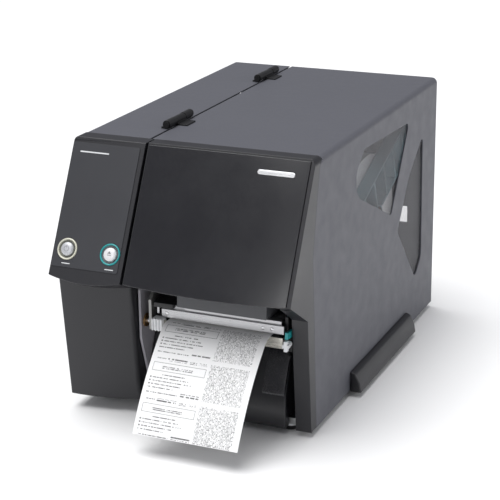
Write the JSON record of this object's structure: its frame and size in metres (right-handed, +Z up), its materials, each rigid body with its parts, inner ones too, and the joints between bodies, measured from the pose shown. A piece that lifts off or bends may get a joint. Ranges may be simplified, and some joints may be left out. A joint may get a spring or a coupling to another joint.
{
  "type": "thermal label printer",
  "caption": "Desktop label printer with a hinged windowed media door, slanted control panel, open front print mechanism, paper roll inside and a printed label strip hanging out.",
  "frame": {"origin": "middle of the footprint, on the surface it stands on", "axes": "+Z up, -Y out of the front where the labels come out, +X to the side with the windowed door"},
  "size_m": [0.26, 0.4705, 0.2784],
  "materials": {
    "cover_metal": "fine-textured charcoal powder coat",
    "rear_metal": "satin black paint",
    "zinc_steel": "bright zinc",
    "bezel_plastic": "fine-textured near-black",
    "gloss_panel": "gloss near-black",
    "overlay_film": "satin printed film",
    "cream_plastic": "cream",
    "teal_plastic": "teal",
    "silver_cap": "silver-grey",
    "circuit_board": "green solder mask",
    "black_plastic": "black",
    "dark_plastic": "dark grey",
    "cap_plastic": "mid grey",
    "white_plastic": "white",
    "clear_tint": "grey-tinted clear sheet",
    "clear_blue": "translucent pale blue",
    "foot_rubber": "matt black",
    "platen_rubber": "ground black",
    "head_metal": "satin silver",
    "bracket_steel": "zinc",
    "bright_steel": "polished",
    "tear_steel": "bright stainless",
    "black_steel": "black oxide",
    "ceramic_strip": "glazed",
    "bronze": "sintered bronze",
    "label_paper": "matt white label stock",
    "roll_paper": "white, wound",
    "core_board": "brown board",
    "belt_rubber": "black",
    "motor_black": "black and laminated steel"
  },
  "bodies": {
    "chassis": {"base_tray": "zinc_steel", "centre_wall": "zinc_steel", "rear_panel": "rear_metal", "electronics_cover": "cover_metal", "control_bezel": "bezel_plastic", "control_overlay": "overlay_film", "pause_button_ring": "cream_plastic", "feed_button_ring": "teal_plastic", "control_board": "circuit_board", "front_column": "bezel_plastic", "lower_front_cover": "dark_plastic", "front_ledge_pad": "dark_plastic", "rubber_feet": "foot_rubber", "foot_cups": "white_plastic", "case_screws": "bright_steel", "main_board": "circuit_board", "power_supply": "circuit_board", "power_inlet": "black_plastic", "data_ports": "bright_steel", "rocker_housing": "black_plastic", "stepper_motor": "motor_black", "drive_belt": "belt_rubber", "mech_left_plate": "bracket_steel", "mech_right_plate": "bracket_steel", "mech_base": "bracket_steel", "tear_plate": "tear_steel", "platen_bushings": "bronze", "head_pivot_shaft": "bright_steel", "spindle_axles": "bright_steel", "media_hanger": "black_plastic", "damper_rod": "bright_steel", "label_web": "label_paper", "hinge_bases": "black_steel", "hinge_pins": "black_steel"},
    "media_door": {"media_cover": "cover_metal", "window_panes": "clear_tint", "door_bezel": "bezel_plastic", "front_panel": "gloss_panel", "grip_handle": "bezel_plastic", "hinge_leaves": "black_steel"},
    "pause_key": {"pause_button": "silver_cap"},
    "feed_key": {"feed_button": "silver_cap"},
    "rocker": {"power_rocker": "black_plastic"},
    "print_head": {"head_bracket": "head_metal", "heatsink": "head_metal", "thermal_strip": "ceramic_strip", "head_cover": "cap_plastic"},
    "head_latch": {"latch_shaft": "bright_steel", "latch_lever": "teal_plastic"},
    "platen": {"platen_roller": "platen_rubber", "platen_shaft": "bright_steel", "platen_pulley": "black_plastic"},
    "motor_rotor": {"motor_pulley": "bright_steel"},
    "paper_roll": {"label_roll": "roll_paper", "roll_core": "core_board"},
    "ribbon_rewind": {"ribbon_rewind_spindle": "cap_plastic"},
    "ribbon_supply": {"ribbon_supply_spindle": "cap_plastic"},
    "roll_guide": {"media_guide": "clear_blue"},
    "edge_guide": {"label_guide": "white_plastic"},
    "tear_knob": {"tear_plate_knob": "white_plastic"}
  },
  "joints": [
    {"name": "door_hinge", "type": "hinge", "parent": "chassis", "child": "media_door", "pos_m": [-0.0595, 0.036, 0.2742], "axis": [0, -1, 0], "range_deg": [0, 100]},
    {"name": "pause_press", "type": "slide", "parent": "chassis", "child": "pause_key", "axis": [0, 0.8869, -0.4619], "range_m": [0, 0.0012], "stiffness_N_per_m": 400, "springref_m": -0.001},
    {"name": "feed_press", "type": "slide", "parent": "chassis", "child": "feed_key", "axis": [0, 0.8869, -0.4619], "range_m": [0, 0.0012], "stiffness_N_per_m": 400, "springref_m": -0.001},
    {"name": "power_rock", "type": "hinge", "parent": "chassis", "child": "rocker", "pos_m": [-0.072, 0.229, 0.032], "axis": [1, 0, 0], "range_deg": [0, 20]},
    {"name": "head_lift", "type": "hinge", "parent": "chassis", "child": "print_head", "pos_m": [0.026, -0.062, 0.14], "axis": [-1, 0, 0], "range_deg": [0, 35]},
    {"name": "latch_turn", "type": "hinge", "parent": "chassis", "child": "head_latch", "pos_m": [0.026, -0.094, 0.094], "axis": [-1, 0, 0], "range_deg": [0, 40]},
    {"name": "platen_spin", "type": "hinge", "parent": "chassis", "child": "platen", "pos_m": [0.026, -0.142, 0.096], "axis": [1, 0, 0], "continuous": true},
    {"name": "motor_spin", "type": "hinge", "parent": "chassis", "child": "motor_rotor", "pos_m": [-0.076, -0.09, 0.062], "axis": [1, 0, 0], "continuous": true},
    {"name": "roll_spin", "type": "hinge", "parent": "chassis", "child": "paper_roll", "pos_m": [0.026, 0.105, 0.118], "axis": [1, 0, 0], "continuous": true},
    {"name": "rewind_spin", "type": "hinge", "parent": "chassis", "child": "ribbon_rewind", "pos_m": [0.016, -0.086, 0.222], "axis": [1, 0, 0], "continuous": true},
    {"name": "supply_spin", "type": "hinge", "parent": "chassis", "child": "ribbon_supply", "pos_m": [0.016, -0.022, 0.206], "axis": [1, 0, 0], "continuous": true},
    {"name": "roll_guide_slide", "type": "slide", "parent": "chassis", "child": "roll_guide", "axis": [1, 0, 0], "range_m": [0, 0.008]},
    {"name": "edge_guide_slide", "type": "slide", "parent": "chassis", "child": "edge_guide", "axis": [-1, 0, 0], "range_m": [0, 0.0024]},
    {"name": "tear_knob_turn", "type": "hinge", "parent": "chassis", "child": "tear_knob", "pos_m": [0.0987, -0.154, 0.0975], "axis": [0, 1, 0], "range_deg": [0, 90]}
  ],
  "couplings": [
    {"joint": "motor_spin", "follows": "platen_spin", "ratio": 1.5}
  ]
}
